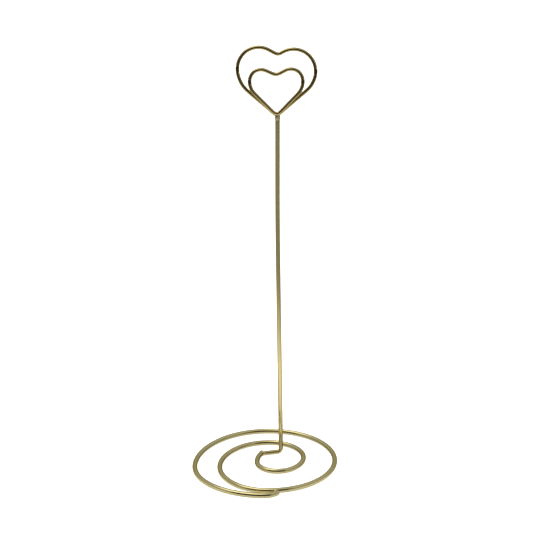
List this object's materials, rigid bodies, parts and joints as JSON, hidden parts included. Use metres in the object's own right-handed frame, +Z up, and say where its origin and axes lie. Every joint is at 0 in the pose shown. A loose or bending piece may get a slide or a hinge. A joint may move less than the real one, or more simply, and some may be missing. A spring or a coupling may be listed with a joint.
{
  "type": "table number holder",
  "caption": "Upright wire stand on a coiled wire foot, holding a table number card between two nested heart-shaped clip wires that spring apart.",
  "frame": {"origin": "on the table plane, under the middle of the coiled foot's outline", "axes": "+Z up along the stem; the hearts face -Y; +X to the right of a person reading the card"},
  "size_m": [0.0774, 0.0802, 0.2207],
  "materials": {
    "base_wire_plating": "bright pale-gold electroplate on drawn steel wire",
    "stem_plating": "bright pale-gold electroplate on drawn steel wire",
    "rear_heart_plating": "bright pale-gold electroplate on thin drawn steel wire",
    "front_heart_plating": "bright pale-gold electroplate on thin drawn steel wire",
    "weld_plating": "satin pale-gold electroplate over a resistance-weld bead"
  },
  "bodies": {
    "stand": {"base_coil": "base_wire_plating", "stem": "stem_plating", "heart_rear": "rear_heart_plating", "weld_coil_end": "weld_plating", "weld_stem_foot": "weld_plating", "weld_clip": "weld_plating"},
    "front_clip": {"heart_front": "front_heart_plating"}
  },
  "joints": [
    {"name": "clip_flex", "type": "hinge", "parent": "stand", "child": "front_clip", "pos_m": [0.0063, 0.01144, 0.18696], "axis": [1, 0, 0], "range_deg": [0, 6], "stiffness_Nm_per_rad": 0.4}
  ]
}
